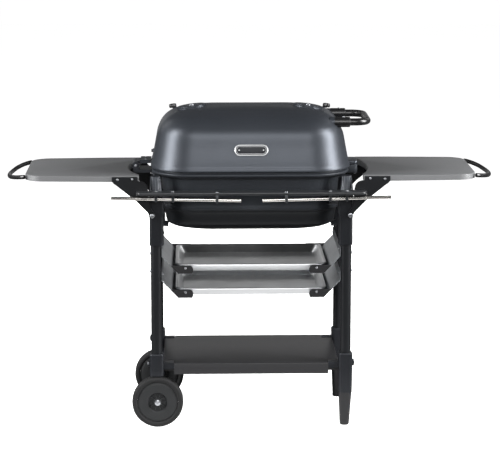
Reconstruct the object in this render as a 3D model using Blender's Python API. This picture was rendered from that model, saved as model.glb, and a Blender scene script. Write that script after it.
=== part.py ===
"""Charcoal grill and smoker on a wheeled cart, as separate closed solids in metres.

The front faces -Y and the floor is at Z = 0. Lengths below are in millimetres; MM turns them into metres.
"""

import math

import bmesh
import bpy
from mathutils import Matrix, Vector

MM = 0.001
GAP = 0.3  # clearance between pieces that touch
DEPTH_SHIFT = 23.25  # moves the whole grill back, so that its box is centred on the origin
SMOOTH_ANGLE = math.radians(38)

# Cart
LEG_X = 284.0
LEG_Y = 168.0
LEG_RADIUS = 16.0
LEG_WALL = 1.8
LEG_TOP = 640.2
LEG_BOTTOM_RIGHT = 150.3
LEG_BOTTOM_LEFT = 165.3
POCKET_RADIUS = 16.4
COLLAR_TOP = 224.0
COLLAR_HALF = 21.0
BOLT_Z = 193.0
FOOT_SPLIT = 103.0
FOOT_TOP_HALF = 19.0
FOOT_TIP_HALF = 14.0
ARM_LOW = 178.0
ARM_HIGH = 197.0
ARM_HALF = 13.0
TRAY_X = 232.0
TRAY_Y = 186.0
TRAY_TOP = 196.0
TRAY_LOW = 163.0
TRAY_WING_X = 264.0
TRAY_WING_Y = 145.0
TRAY_SHEET = 2.2

# Wheels
AXLE_X = -282.0
AXLE_Z = 77.0
AXLE_RADIUS = 6.0
WHEEL_RADIUS = 77.0
WHEEL_Y = 174.0
WHEEL_HALF = 18.0
DISC_RADIUS = 61.0
WHEEL_STEPS = 32

# Side shelves and their fold pivots
SHELF_IN = 333.0
SHELF_OUT = 672.0
SHELF_Y = 190.0
SHELF_TIP_Y = 178.0
SHELF_STRAIGHT = 425.0
SHELF_CORNER = 60.0
SHELF_TOP = 767.0
SHELF_LOW = 750.0
SHELF_SHEET = 2.5
NOTCH_HALF = 154.0
NOTCH_RIGHT = 24.0
NOTCH_LEFT = 35.0
PIVOT_X = 294.0
SLEEVE_X = 281.5  # the sleeve sits a little inboard of the tube
PIVOT_Z = 648.0
PIVOT_RADIUS = 4.0
GUSSET_IN = 190.8
GUSSET_OUT = 193.3
GRAB_RADIUS = 6.5
GRAB_TIP = 729.5

# Front rail and rods
RAIL_X = 341.0
RAIL_FRONT = -241.0
RAIL_BACK = -197.5
RAIL_LOW = 715.0
RAIL_HIGH = 725.0
ROD_RADIUS = 5.5
ROD_OUTER = (415.0, -201.0, 703.0)
ROD_INNER = (31.0, -244.0, 702.0)
HOOKS_X = (102.0, 232.0, 282.0)

# Racks and pans
RACK_STEP = 73.5  # height from the lower rack to the upper one
LEDGE_TOP = 471.0
LEDGE_SHEET = 2.0
LEDGE_IN = 176.0
RACK_Y = 176.0
FLANGE_TOP = 547.0
LIP_TOP = 494.0
PAN_X = 227.0
PAN_Y = 163.5
PAN_LOW = 471.3

# Body
LIP_PLANE = 779.0
RIM_TOP = 778.7
HINGE_X = -345.0
HINGE_Z = 776.0
HINGE_RADIUS = 11.0
HINGE_HALF = 40.0
KNUCKLE_HALF = 26.0
PIN_RADIUS = 4.0
HANDLE_Y = 105.0
HANDLE_Z = 915.0
HANDLE_RADIUS = 11.0
HANDLE_OUT = 351.0
HANDLE_BEND = 40.0
SOCKET_END = 288.0
VENT_X = 176.0
VENT_SEAT_Z = 951.5
VENT_TILT = math.radians(7.5)
VENT_RADIUS = 42.0
VENT_REACH = 56.0
LOW_VENT_X = 205.0
LOW_SEAT_Z = 591.0
LOW_VENT_TILT = math.radians(10.0)
LOW_VENT_RADIUS = 38.0
PORT_HOLES = 3
PORT_RADIUS = 8.0
PORT_CIRCLE = 23.0
BADGE_X = 50.0  # half sizes of a plain round-ended plate
BADGE_Z = 17.0
BADGE_UP = 28.0  # its centre, up the sloping front of the lid

# Half width, half depth and corner radius of the body at each height
LID_INNER = (
    (948.5, 64, 30, 20),
    (947.0, 113, 55, 34),
    (944.5, 152, 80, 47),
    (940.5, 184, 98, 57),
    (935.0, 207, 115, 67),
    (927.0, 227, 133, 79),
    (915.5, 244, 149, 89),
    (901.0, 257, 161, 96),
    (889.0, 265, 170, 102),
    (876.0, 271.5, 177, 108),
    (850.0, 278, 183.5, 114),
    (815.0, 284.5, 190, 119),
    (792.0, 287, 192, 121),
    (786.0, 283, 188, 118),
    (LIP_PLANE, 283, 188, 118),
)
LID_OUTER = (
    (LIP_PLANE, 299, 203, 130),
    (788.0, 299, 203, 130),
    (792.0, 296.5, 200.5, 128),
    (815.0, 291.5, 197, 126),
    (850.0, 285, 190.5, 121),
    (878.0, 279.5, 184.5, 116),
    (893.0, 273.5, 178, 110),
    (907.0, 266, 169.5, 104),
    (922.0, 253, 157, 96),
    (934.0, 236, 141, 86),
    (942.0, 216, 123, 74),
    (947.5, 192, 105, 63),
    (951.5, 160, 86, 52),
    (954.0, 120, 60, 38),
    (955.0, 70, 34, 22),
)
BASE_INNER = (
    (587.5, 75, 32, 24),
    (593.0, 145, 66, 42),
    (601.0, 205, 98, 55),
    (610.0, 231, 124, 70),
    (619.0, 243, 138, 78),
    (645.0, 249, 146, 82),
    (663.0, 254, 157, 86),
    (752.0, 258, 167, 102),
    (764.0, 279, 184, 116),
    (RIM_TOP, 281, 186, 118),
)
BASE_OUTER = (
    (RIM_TOP, 289, 194, 124),
    (773.0, 289, 194, 124),
    (772.0, 294, 199, 127),
    (768.0, 296, 201, 128),
    (763.0, 294, 199, 127),
    (760.0, 286, 191, 120),
    (752.0, 268, 176, 108),
    (730.0, 264, 172, 100),
    (663.0, 262, 165, 92),
    (655.0, 258, 158, 90),
    (640.0, 257, 154, 88),
    (615.0, 252, 146, 84),
    (604.0, 240, 132, 76),
    (594.5, 215, 105, 60),
    (586.0, 160, 74, 46),
    (580.5, 80, 35, 25),
)

MATERIALS = {
    "body_metal": ((0.055, 0.062, 0.070), 0.42, 0.55),
    "black_casting": ((0.022, 0.024, 0.027), 0.55, 0.30),
    "black_tube": ((0.024, 0.025, 0.027), 0.42, 0.30),
    "grey_sheet": ((0.085, 0.087, 0.090), 0.48, 0.35),
    "black_sheet": ((0.018, 0.018, 0.020), 0.50, 0.25),
    "stainless": ((0.62, 0.61, 0.59), 0.22, 1.0),
    "pan_metal": ((0.70, 0.70, 0.71), 0.30, 1.0),
    "emblem_metal": ((0.55, 0.56, 0.57), 0.32, 0.9),
    "iron_grate": ((0.030, 0.030, 0.032), 0.62, 0.4),
    "handle_plastic": ((0.012, 0.012, 0.013), 0.50, 0.0),
    "tyre_rubber": ((0.016, 0.016, 0.017), 0.72, 0.0),
    "hub_plastic": ((0.060, 0.062, 0.065), 0.50, 0.0),
}


def clear_scene():
    for obj in list(bpy.data.objects):
        bpy.data.objects.remove(obj, do_unlink=True)


def material(slot):
    found = bpy.data.materials.get(slot)
    if found:
        return found
    made = bpy.data.materials.new(slot)
    made.use_nodes = True
    shader = made.node_tree.nodes["Principled BSDF"]
    colour, roughness, metallic = MATERIALS[slot]
    shader.inputs["Base Color"].default_value = (*colour, 1.0)
    shader.inputs["Roughness"].default_value = roughness
    shader.inputs["Metallic"].default_value = metallic
    made.diffuse_color = (*colour, 1.0)
    return made


def rounded(half_x, half_y, radius, arc=6, centre=(0.0, 0.0)):
    """A rounded rectangle, counterclockwise, with arc + 1 points at each corner."""
    points = []
    for turn, (sx, sy) in enumerate(((1, 1), (-1, 1), (-1, -1), (1, -1))):
        for step in range(arc + 1):
            angle = math.pi / 2 * (turn + step / arc)
            x = sx * (half_x - radius) + radius * math.cos(angle)
            y = sy * (half_y - radius) + radius * math.sin(angle)
            points.append((centre[0] + x, centre[1] + y))
    return points


def circle(radius, steps, centre=(0.0, 0.0)):
    turns = [2 * math.pi * i / steps for i in range(steps)]
    return [(centre[0] + radius * math.cos(t), centre[1] + radius * math.sin(t)) for t in turns]


def inset(outline, depth):
    """The counterclockwise outline moved inwards by depth."""
    moved = []
    count = len(outline)
    for i in range(count):
        here = Vector(outline[i])
        before = (here - Vector(outline[i - 1])).normalized()
        after = (Vector(outline[(i + 1) % count]) - here).normalized()
        normal = Vector((-before.y - after.y, before.x + after.x)).normalized()
        stretch = max(0.4, normal.dot(Vector((-before.y, before.x))))
        moved.append(tuple(here + normal * depth / stretch))
    return moved


def level(outline, z):
    return [(x, y, z) for x, y in outline]


def skin(rings, closed=False):
    """Vertices and faces that join rings of equal count; open ends get caps."""
    count = len(rings[0])
    verts = [point for ring in rings for point in ring]
    faces = []
    last = len(rings) if closed else len(rings) - 1
    for k in range(last):
        low = k * count
        high = ((k + 1) % len(rings)) * count
        for i in range(count):
            j = (i + 1) % count
            faces.append((low + i, low + j, high + j, high + i))
    if not closed:
        faces.append(tuple(reversed(range(count))))
        faces.append(tuple(range((len(rings) - 1) * count, len(rings) * count)))
    return verts, faces


def moved(shape, matrix):
    verts, faces = shape
    return [tuple(matrix @ Vector(v)) for v in verts], faces


def mirrored(shape):
    """The same shape on the other side of the YZ plane."""
    verts, faces = shape
    return [(-x, y, z) for x, y, z in verts], [tuple(reversed(face)) for face in faces]


def on_side(shape, side):
    return shape if side > 0 else mirrored(shape)


def flipped_depth(shape):
    verts, faces = shape
    return [(x, -y, z) for x, y, z in verts], [tuple(reversed(face)) for face in faces]


def slab(outline, low, high):
    return skin([level(outline, low), level(outline, high)])


def box(x0, x1, y0, y1, z0, z1):
    return slab([(x0, y0), (x1, y0), (x1, y1), (x0, y1)], z0, z1)


def upright(outline, y0, y1):
    """A plate from an outline in X and Z, between two depths."""
    return skin([[(x, y, z) for x, z in outline] for y in (y1, y0)])


def rod(start, end, radius, steps=12):
    """A round bar between two points."""
    return tube([start, end], radius, steps)


def tube(path, radius, steps=12):
    """A round bar along a path."""
    points = [Vector(p) for p in path]
    rings = []
    side = None
    for i, point in enumerate(points):
        ahead = points[min(i + 1, len(points) - 1)] - point
        behind = point - points[max(i - 1, 0)]
        along = (ahead.normalized() + behind.normalized()).normalized()
        if side is None:
            side = along.orthogonal().normalized()
        side = (side - along * side.dot(along)).normalized()
        other = along.cross(side)
        ring = []
        for x, y in circle(radius, steps):
            ring.append(tuple(point + side * x + other * y))
        rings.append(ring)
    return skin(rings)


def turned(profile, steps, closed):
    """A shape turned about Z from a profile of radius and height."""
    return skin([level(circle(r, steps), h) for r, h in profile], closed)


def mesh_of(name, shape):
    verts, faces = shape
    mesh = bpy.data.meshes.new(name)
    mesh.from_pydata([tuple(c * MM for c in v) for v in verts], [], faces)
    work = bmesh.new()
    work.from_mesh(mesh)
    bmesh.ops.recalc_face_normals(work, faces=work.faces)
    work.to_mesh(mesh)
    work.free()
    return mesh


def helper(name, shape):
    obj = bpy.data.objects.new(name, mesh_of(name, shape))
    bpy.context.scene.collection.objects.link(obj)
    return obj


def combined(name, shape, joins=(), cuts=()):
    """The mesh of a shape after exact unions and differences."""
    body = helper(name + "_work", shape)
    tools = [helper(f"{name}_tool{i}", tool) for i, tool in enumerate((*joins, *cuts))]
    for i, tool in enumerate(tools):
        modifier = body.modifiers.new(f"step{i}", "BOOLEAN")
        modifier.operation = "UNION" if i < len(joins) else "DIFFERENCE"
        modifier.solver = "EXACT"
        modifier.object = tool
    bpy.context.view_layer.update()
    graph = bpy.context.evaluated_depsgraph_get()
    mesh = bpy.data.meshes.new_from_object(body.evaluated_get(graph))
    for obj in (body, *tools):
        bpy.data.objects.remove(obj, do_unlink=True)
    return mesh


def place(name, mesh, slot, pivot=(0.0, 0.0, 0.0)):
    """Makes the node, with its origin on the pivot."""
    pivot = Vector(pivot) * MM
    mesh.transform(Matrix.Translation(-pivot))
    mesh.name = name
    mesh.materials.clear()
    mesh.materials.append(material(slot))
    mesh.shade_smooth()
    mesh.set_sharp_from_angle(angle=SMOOTH_ANGLE)
    obj = bpy.data.objects.new(name, mesh)
    obj.location = pivot + Vector((0.0, DEPTH_SHIFT * MM, 0.0))
    bpy.context.scene.collection.objects.link(obj)
    return obj


def node(name, shape, slot, joins=(), cuts=(), pivot=(0.0, 0.0, 0.0)):
    mesh = combined(name, shape, joins, cuts) if joins or cuts else mesh_of(name, shape)
    return place(name, mesh, slot, pivot)


def body_rings(sections, arc=6):
    return [level(rounded(hx, hy, r, arc), z) for z, hx, hy, r in sections]


def along_y(shape, centre):
    """A shape turned about Z, laid with its axis on Y through the centre in X and Z."""
    turn = Matrix.Rotation(math.radians(90), 4, "X")
    return moved(shape, Matrix.Translation((centre[0], 0.0, centre[1])) @ turn)


def barrel(centre, radius, y0, y1, steps=16):
    return rod((centre[0], y0, centre[1]), (centre[0], y1, centre[1]), radius, steps)


def ports(x, low, high, offset):
    """Round vent holes about a vertical axis at x."""
    holes = []
    for i in range(PORT_HOLES):
        angle = 2 * math.pi * i / PORT_HOLES + offset
        cx = x + PORT_CIRCLE * math.cos(angle)
        cy = PORT_CIRCLE * math.sin(angle)
        holes.append(slab(circle(PORT_RADIUS, 12, (cx, cy)), low, high))
    return holes


def vent_frame(side):
    """The tilted frame of a lid vent, with Z out of its seat."""
    spot = Matrix.Translation((side * VENT_X, 0.0, VENT_SEAT_Z))
    return spot @ Matrix.Rotation(side * VENT_TILT, 4, "Y")


def build_lid():
    joins = []
    cuts = []
    for side in (1, -1):
        frame = vent_frame(side)
        joins.append(moved(slab(circle(44.0, 28), -7.0, 0.0), frame))
        cuts += [moved(hole, frame) for hole in ports(0.0, -25.0, 12.0, 0.0)]
        ends = [(x, side * HANDLE_Y, HANDLE_Z) for x in (236.0, SOCKET_END)]
        joins.append(rod(*ends, 15.0, 16))
    lug = rounded(20.0, 45.0, 10.0, 3, (305.0, 0.0))
    joins.append(slab(lug, LIP_PLANE + 0.6, 788.0))
    joins.append(rod((-276.0, 0.0, 816.0), (-293.5, 0.0, 816.0), 7.0, 14))
    shape = skin(body_rings(LID_INNER) + body_rings(LID_OUTER))
    node("lid_shell", shape, "body_metal", joins, cuts, (HINGE_X, 0.0, HINGE_Z))


def build_lid_fittings():
    hinge = (HINGE_X, 0.0, HINGE_Z)
    path = [(SOCKET_END + GAP, -HANDLE_Y, HANDLE_Z)]
    for corner in (-1, 1):
        for step in range(6):
            angle = math.pi / 2 * step / 5
            if corner < 0:
                angle = math.pi / 2 - angle
            x = HANDLE_OUT - HANDLE_BEND + HANDLE_BEND * math.cos(angle)
            y = corner * (HANDLE_Y - HANDLE_BEND + HANDLE_BEND * math.sin(angle))
            path.append((x, y, HANDLE_Z))
    path.append((SOCKET_END + GAP, HANDLE_Y, HANDLE_Z))
    node("lid_handle", tube(path, HANDLE_RADIUS, 14), "handle_plastic", pivot=hinge)

    low, high = (816.0, -196.8), (873.0, -186.0)
    slope = math.atan2(high[1] - low[1], high[0] - low[0])
    tilt = Matrix.Rotation(math.pi / 2 - slope, 4, "X")
    frame = Matrix.Translation((0.0, low[1] - 0.45, low[0])) @ tilt
    plate = rounded(BADGE_X, BADGE_Z, BADGE_Z - 1.0, 8, (0.0, BADGE_UP))
    rings = [level(plate, 0.0), level(plate, 1.8), level(inset(plate, 1.0), 2.8)]
    node("badge_plate", moved(skin(rings), frame), "emblem_metal", pivot=hinge)
    node("probe_port", rod((-293.8, 0, 816), (-298.5, 0, 816), 5.0, 14), "black_casting", pivot=hinge)

    for side, end in ((1, "right"), (-1, "left")):
        frame = vent_frame(side)
        pivot = (side * VENT_X, 0.0, VENT_SEAT_Z)
        disc = slab(circle(VENT_RADIUS, 32), GAP, 3.0)
        reach = side * VENT_REACH
        arm = box(min(reach, 0.0), max(reach, 0.0), -8.0, 8.0, GAP + 0.4, 2.6)
        cap = slab(circle(8.0, 16), 1.0, 6.5)
        holes = ports(0.0, -5.0, 9.0, math.pi / PORT_HOLES)
        joins = [moved(arm, frame), moved(cap, frame)]
        node(
            f"top_vent_disc_{end}",
            moved(disc, frame),
            "body_metal",
            joins,
            [moved(hole, frame) for hole in holes],
            pivot,
        )
        star = []
        for z, grow in ((2.9, 0.85), (5.5, 1.0), (12.0, 1.0), (14.5, 0.8)):
            ring = []
            for i in range(16):
                radius = grow * (12.0 if i % 2 else 9.5)
                angle = 2 * math.pi * i / 16
                ring.append((reach + radius * math.cos(angle), radius * math.sin(angle), z))
            star.append(ring)
        node(f"top_vent_knob_{end}", moved(skin(star), frame), "handle_plastic", pivot=pivot)


def build_hinge():
    centre = (HINGE_X, HINGE_Z)
    leaf = box(-331.0, -299.5, -HINGE_HALF, HINGE_HALF, 783.0, 793.0)
    side_view = [(HINGE_X, HINGE_Z), (-326.0, 784.5), (-326.0, 792.5), (HINGE_X, HINGE_Z + 10.5)]
    neck = upright(side_view, -KNUCKLE_HALF, KNUCKLE_HALF)
    knuckle = barrel(centre, HINGE_RADIUS, -KNUCKLE_HALF, KNUCKLE_HALF, 20)
    bore = barrel(centre, PIN_RADIUS + GAP, -60.0, 60.0, 16)
    pivot = (HINGE_X, 0.0, HINGE_Z)
    node("hinge_leaf", leaf, "black_casting", [neck, knuckle], [bore], pivot)

    plate = box(-353.0, -297.0, -HINGE_HALF, HINGE_HALF, 754.0, 763.5)
    cheeks = []
    for side in (1, -1):
        ends = sorted((side * (KNUCKLE_HALF + GAP), side * HINGE_HALF))
        cheeks.append(barrel(centre, HINGE_RADIUS, *ends, 20))
        cheeks.append(box(HINGE_X - 8.0, HINGE_X + 8.0, *ends, 757.0, HINGE_Z))
    node("hinge_bracket", plate, "body_metal", cheeks, [bore], pivot)
    node("hinge_pin", barrel(centre, PIN_RADIUS, -43.0, 43.0, 16), "stainless", pivot=pivot)


def low_vent_frame(side):
    """The frame of a vent under the base, with Z out of its seat on the sloping floor."""
    spot = Matrix.Translation((side * LOW_VENT_X, 0.0, LOW_SEAT_Z))
    return spot @ Matrix.Rotation(-side * LOW_VENT_TILT, 4, "Y") @ Matrix.Rotation(math.pi, 4, "X")


def build_base():
    joins = [slab(rounded(20.5, 45.0, 10.0, 3, (304.5, 0.0)), 752.0, 777.0)]
    cuts = []
    for side in (1, -1):
        frame = low_vent_frame(side)
        joins.append(moved(slab(circle(40.0, 28), -16.0, 0.0), frame))
        cuts += [moved(hole, frame) for hole in ports(0.0, -40.0, 12.0, 0.0)]
    shape = skin(body_rings(BASE_INNER) + body_rings(BASE_OUTER))
    node("base_shell", shape, "body_metal", joins, cuts)

    for side, end in ((1, "right"), (-1, "left")):
        frame = low_vent_frame(side)
        tip = side * 58.0
        arm = box(min(0.0, tip), max(0.0, tip), -7.0, 7.0, 0.7, 3.0)
        grip = box(*sorted((side * 42.0, tip)), -6.0, 6.0, 1.0, 17.0)
        disc = slab(circle(LOW_VENT_RADIUS, 28), GAP, 3.3)
        holes = [moved(hole, frame) for hole in ports(0.0, -5.0, 12.0, math.pi / PORT_HOLES)]
        pivot = (side * LOW_VENT_X, 0.0, LOW_SEAT_Z)
        joins = [moved(arm, frame), moved(grip, frame)]
        node(f"low_vent_disc_{end}", moved(disc, frame), "black_casting", joins, holes, pivot)


def slotted(
    name, half_x, half_y, corner, z0, z1, slots, width, rows, joins=(), pivot=(0.0, 0.0, 0.0)
):
    """A grate: a rounded plate with long slots from front to back."""
    edge = 12.0
    rib = 9.0
    pitch = 2 * (half_x - edge) / slots
    cuts = []
    for i in range(slots):
        x = -half_x + edge + pitch * (i + 0.5)
        over = max(0.0, abs(x) + width / 2 - (half_x - corner))
        reach = half_y - corner + math.sqrt(corner**2 - over**2) - edge
        for row in range(rows):
            y0 = -half_y + edge + (2 * half_y - 2 * edge) * row / rows + rib / 2
            y1 = -half_y + edge + (2 * half_y - 2 * edge) * (row + 1) / rows - rib / 2
            y0 = max(y0, -reach)
            y1 = min(y1, reach)
            if y1 - y0 > width:
                cuts.append(box(x - width / 2, x + width / 2, y0, y1, z0 - 20.0, z1 + 20.0))
    verts = []
    faces = []
    for shape in cuts:
        faces += [tuple(k + len(verts) for k in face) for face in shape[1]]
        verts += shape[0]
    plate = slab(rounded(half_x, half_y, corner, 5), z0, z1)
    node(name, plate, "iron_grate", joins, [(verts, faces)], pivot)


def build_grates():
    rest = (0.0, 0.0, 760.0)
    slotted("cooking_grate", 270.0, 176.5, 111.0, 760.0, 765.0, 20, 15.0, 3, pivot=rest)
    spots = [(sx * 120.0, sy * 40.0) for sx in (1, -1) for sy in (1, -1)]
    pegs = [slab(circle(5.0, 8, spot), 594.5, 624.0) for spot in spots]
    slotted("charcoal_grate", 238.0, 134.0, 76.0, 622.0, 627.0, 14, 12.0, 2, pegs)


def leg_name(side, depth):
    return ("front_" if depth < 0 else "back_") + ("right" if side > 0 else "left")


def build_leg(side, depth):
    """One leg with its castings. side is 1 for +X, depth is -1 for the front."""
    name = leg_name(side, depth)
    centre = (LEG_X, -LEG_Y)

    def finish(shape):
        shape = on_side(shape, side)
        return flipped_depth(shape) if depth > 0 else shape

    bottom = LEG_BOTTOM_RIGHT if side > 0 else LEG_BOTTOM_LEFT
    outer = circle(LEG_RADIUS, 18, centre)
    inner = circle(LEG_RADIUS - LEG_WALL, 18, centre)
    rings = [level(outer, bottom), level(outer, LEG_TOP), level(inner, LEG_TOP), level(inner, bottom)]
    node(f"leg_{name}", finish(skin(rings, True)), "black_tube")

    pocket = rounded(POCKET_RADIUS, POCKET_RADIUS, POCKET_RADIUS - 0.5, 4, centre)
    rings = [level(pocket, LEG_TOP + GAP), level(pocket, 556.0)]
    for z, hx, hy, r, cx in (
        (556.0, 20.0, 18.8, 9.0, SLEEVE_X),
        (559.0, 21.3, 19.4, 10.0, SLEEVE_X),
        (640.0, 21.3, 19.0, 10.0, SLEEVE_X),
        (652.0, 24.0, 19.0, 10.0, SLEEVE_X),
        (705.0, 22.0, 19.0, 9.0, SLEEVE_X),
        (720.0, 16.0, 16.5, 10.0, LEG_X),
        (764.0, 12.5, 13.0, 9.0, LEG_X),
    ):
        rings.append(level(rounded(hx, hy, r, 4, (cx, -LEG_Y)), z))
    reach = Vector((-119.5, 96.0)).normalized()
    across = Vector((-reach.y, reach.x))
    hub = Vector(centre)
    arm = []
    for length, width in ((0.0, -10.0), (53.5, -10.0), (53.5, 10.0), (0.0, 10.0)):
        arm.append(tuple(hub + reach * length + across * width))
    spot = (PIVOT_X, PIVOT_Z)
    joins = [
        finish(slab(arm, 675.0, 712.0)),
        finish(barrel(spot, 9.0, -190.4, -184.7)),
        finish(barrel(spot, PIVOT_RADIUS, -195.0, -186.0)),
        finish(barrel(spot, 7.0, -196.6, -GUSSET_OUT - GAP)),
    ]
    node(f"leg_casting_{name}", finish(skin(rings)), "black_casting", joins)

    bottom_pocket = bottom - GAP
    rings = [level(pocket, bottom_pocket), level(pocket, COLLAR_TOP)]
    sections = [(COLLAR_TOP, COLLAR_HALF - 1.5), (COLLAR_TOP - 3.0, COLLAR_HALF), (172.0, COLLAR_HALF)]
    sections.append((FOOT_SPLIT, FOOT_TOP_HALF + 1.0) if side > 0 else (157.0, COLLAR_HALF - 1.0))
    for z, half in sections:
        rings.append(level(rounded(half, half, 9.0, 4, centre), z))
    face = LEG_X + COLLAR_HALF
    bolt = rod((face - 2.0, -LEG_Y, BOLT_Z), (face + 5.0, -LEG_Y, BOLT_Z), 10.0, 16)
    link_end = LEG_X - POCKET_RADIUS - 1.0
    link = box(TRAY_X + GAP, link_end, -LEG_Y - ARM_HALF, -LEG_Y + ARM_HALF, ARM_LOW, ARM_HIGH)
    if side > 0:
        node(f"foot_casting_{name}", finish(skin(rings)), "black_casting", [finish(link), finish(bolt)])
        rings = []
        for z, half, less in (
            (0.0, FOOT_TIP_HALF - 2.5, 1.5),
            (4.0, FOOT_TIP_HALF, 1.5),
            (FOOT_SPLIT - GAP, FOOT_TOP_HALF, 0.0),
        ):
            rings.append(level(rounded(half, half, 8.0, 4, (LEG_X - less, -LEG_Y)), z))
        node(f"foot_{name}", finish(skin(rings)), "black_casting")
        return
    ear = [(LEG_X + 19.0, 163.0), (LEG_X - 19.0, 163.0), (LEG_X - 19.0, 120.0)]
    for step in range(9):
        angle = math.pi * step / 8
        ear.append((-AXLE_X - 16.0 * math.cos(angle), AXLE_Z - 16.0 * math.sin(angle)))
    ear.append((LEG_X + 19.0, 120.0))
    plate = finish(upright(ear, -155.3, -147.3))
    bore = barrel((AXLE_X, AXLE_Z), AXLE_RADIUS + GAP, -250.0, 250.0, 18)
    node(f"axle_casting_{name}", finish(skin(rings)), "black_casting", [finish(link), finish(bolt), plate], [bore])


def build_wheels():
    centre = (AXLE_X, AXLE_Z)
    reach = WHEEL_Y + WHEEL_HALF + 1.0
    heads = [barrel(centre, 9.0, reach, reach + 5.0, 18), barrel(centre, 9.0, -reach - 5.0, -reach, 18)]
    node("axle", barrel(centre, AXLE_RADIUS, -reach - 2.0, reach + 2.0, 18), "stainless", heads)
    tyre = [
        (DISC_RADIUS, -14.0),
        (66.0, -17.5),
        (72.5, -17.5),
        (76.2, -13.5),
        (WHEEL_RADIUS, -6.0),
        (WHEEL_RADIUS, 6.0),
        (76.2, 13.5),
        (72.5, 17.5),
        (66.0, 17.5),
        (DISC_RADIUS, 14.0),
    ]
    face = [(DISC_RADIUS - GAP, 13.0), (56.0, 16.0), (29.0, 16.0), (25.0, 8.0)]
    face += [(13.0, 8.0), (11.5, 15.0), (6.4, 15.0)]
    hub = face + [(r, -h) for r, h in reversed(face)]
    for depth, end in ((-1, "front"), (1, "back")):
        slide = Matrix.Translation((0.0, depth * WHEEL_Y, 0.0))
        pivot = (AXLE_X, depth * WHEEL_Y, AXLE_Z)
        for name, profile, slot in (("tyre", tyre, "tyre_rubber"), ("wheel_hub", hub, "hub_plastic")):
            ring = moved(along_y(turned(profile, WHEEL_STEPS, True), centre), slide)
            node(f"{name}_{end}", ring, slot, pivot=pivot)


def build_tray():
    outline = []
    for sx, sy in ((1, 1), (-1, 1), (-1, -1), (1, -1)):
        corner = [(sx * TRAY_WING_X, sy * TRAY_WING_Y)]
        corner += [(sx * TRAY_X, sy * TRAY_WING_Y), (sx * TRAY_X, sy * TRAY_Y)]
        outline += corner if sx == sy else reversed(corner)
    inner = inset(outline, TRAY_SHEET)
    rings = [
        level(inner, TRAY_TOP - TRAY_SHEET),
        level(inner, TRAY_LOW),
        level(outline, TRAY_LOW),
        level(outline, TRAY_TOP - 1.8),
        level(inset(outline, 1.5), TRAY_TOP),
    ]
    node("lower_shelf", skin(rings), "black_sheet")


def shelf_outline(sagitta):
    """The right-hand shelf seen from above, counterclockwise, with a shallow arc cut from its inner edge."""
    points = [(SHELF_IN, -SHELF_Y), (SHELF_STRAIGHT, -SHELF_Y)]
    cx = SHELF_OUT - SHELF_CORNER
    for sy in (-1, 1):
        cy = sy * (SHELF_TIP_Y - SHELF_CORNER)
        for step in range(7):
            angle = math.pi / 2 * step / 6
            if sy < 0:
                angle -= math.pi / 2
            points.append((cx + SHELF_CORNER * math.cos(angle), cy + SHELF_CORNER * math.sin(angle)))
    points += [(SHELF_STRAIGHT, SHELF_Y), (SHELF_IN, SHELF_Y)]
    radius = (NOTCH_HALF**2 + sagitta**2) / (2 * sagitta)
    half = math.asin(NOTCH_HALF / radius)
    for step in range(11):
        angle = half * (1 - step / 5)
        x = SHELF_IN + sagitta - radius + radius * math.cos(angle)
        points.append((x, radius * math.sin(angle)))
    return points


def gusset_outline():
    points = [(412.0, 765.0), (336.0, 765.0), (336.0, 753.0), (326.0, 752.0)]
    points += [(316.0, 748.0), (309.0, 740.0), (306.0, 728.0), (303.0, 700.0), (299.0, 672.0)]
    for step in range(8):
        angle = math.pi * (0.65 + 1.05 * step / 7)
        points.append((PIVOT_X + 10.0 * math.cos(angle), PIVOT_Z + 10.0 * math.sin(angle)))
    points += [(306.0, 656.0), (341.0, 692.0), (363.0, 710.0), (397.0, 738.0), (406.0, 744.0), (412.0, 751.0)]
    return points


def build_side_shelf(side, end, sagitta):
    pivot = (side * PIVOT_X, 0.0, PIVOT_Z)
    outline = shelf_outline(sagitta)
    inner = inset(outline, SHELF_SHEET)
    rings = [
        level(inner, SHELF_TOP - SHELF_SHEET),
        level(inner, SHELF_LOW),
        level(outline, SHELF_LOW),
        level(outline, SHELF_TOP - 1.8),
        level(inset(outline, 1.6), SHELF_TOP),
    ]
    node(f"side_shelf_{end}", on_side(skin(rings), side), "grey_sheet", pivot=pivot)
    hole = barrel((side * PIVOT_X, PIVOT_Z), PIVOT_RADIUS + 0.4, -250.0, 250.0, 16)
    for depth, where in ((-1, "front"), (1, "back")):
        plate = upright(gusset_outline(), -GUSSET_OUT, -GUSSET_IN)
        plate = on_side(plate, side)
        if depth > 0:
            plate = flipped_depth(plate)
        node(f"gusset_{where}_{end}", plate, "grey_sheet", (), [hole], pivot)
    half = [(672.6, 148.0, 759.5), (682.0, 142.0, 758.0), (697.0, 125.0, 755.0), (712.0, 95.0, 751.0)]
    half += [(723.0, 57.0, 747.0), (GRAB_TIP - 1.0, 20.0, 745.5)]
    path = [(x, -y, z) for x, y, z in half] + list(reversed(half))
    node(f"grab_bar_{end}", on_side(tube(path, GRAB_RADIUS, 10), side), "handle_plastic", pivot=pivot)


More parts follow.
